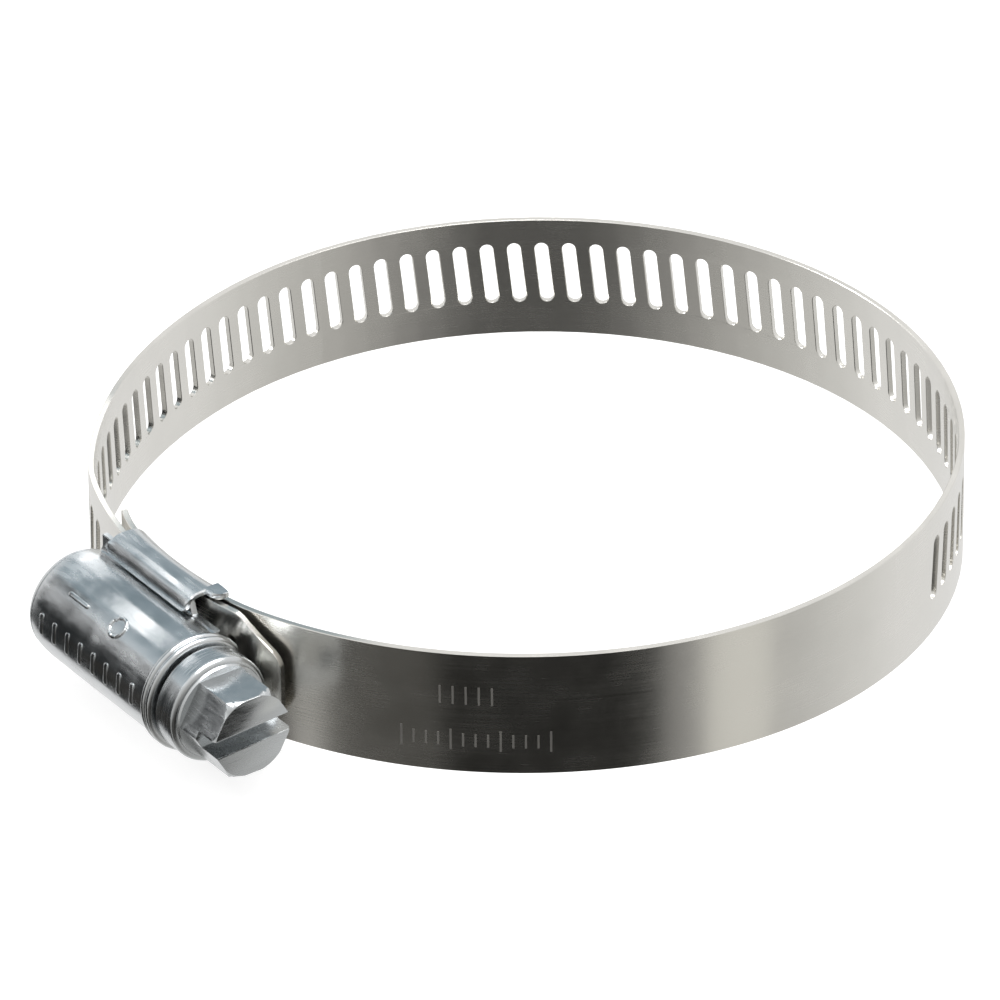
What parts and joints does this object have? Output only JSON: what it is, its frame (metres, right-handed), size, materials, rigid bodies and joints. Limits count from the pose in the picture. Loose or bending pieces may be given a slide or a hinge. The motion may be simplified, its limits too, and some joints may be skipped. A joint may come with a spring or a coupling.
{
  "type": "hose clamp",
  "caption": "Worm-drive hose clamp: a slotted steel band closed to a loop by a slotted hex-head screw in a domed housing, held by a folded saddle.",
  "frame": {"origin": "centre of the loop, at the middle of the band's width", "axes": "+Z along the hose's axis, housing at -Y, screw along X with its hex head at +X"},
  "size_m": [0.0808, 0.0928, 0.0144],
  "materials": {
    "band_steel": "satin, rolled grain along the band",
    "saddle_steel": "bright, lightly rolled",
    "housing_steel": "bright pressed steel with shallow stamped marks",
    "screw_steel": "turned steel, fine machining lines on the end face"
  },
  "bodies": {
    "clamp_base": {"band_solid_end": "band_steel", "saddle": "saddle_steel", "housing": "housing_steel"},
    "span": {"band_slotted_span": "band_steel"},
    "tail": {"band_tail": "band_steel"},
    "screw": {"worm_screw": "screw_steel"}
  },
  "joints": [
    {"name": "screw_turn", "type": "hinge", "parent": "clamp_base", "child": "screw", "pos_m": [0, -0.0466, 0], "axis": [-1, 0, 0], "range_deg": [0, 1440]},
    {"name": "band_flex", "type": "hinge", "parent": "clamp_base", "child": "span", "pos_m": [0.01239, 0.03814, 0], "axis": [0, 0, 1], "range_deg": [0, 7.52]},
    {"name": "entry_flex", "type": "hinge", "parent": "span", "child": "tail", "pos_m": [-0.01867, -0.03829, 0], "axis": [0, 0, 1], "range_deg": [0, 7.08]}
  ],
  "couplings": [
    {"joint": "band_flex", "follows": "screw_turn", "ratio": 0.0052061},
    {"joint": "entry_flex", "follows": "screw_turn", "ratio": 0.0049036}
  ]
}
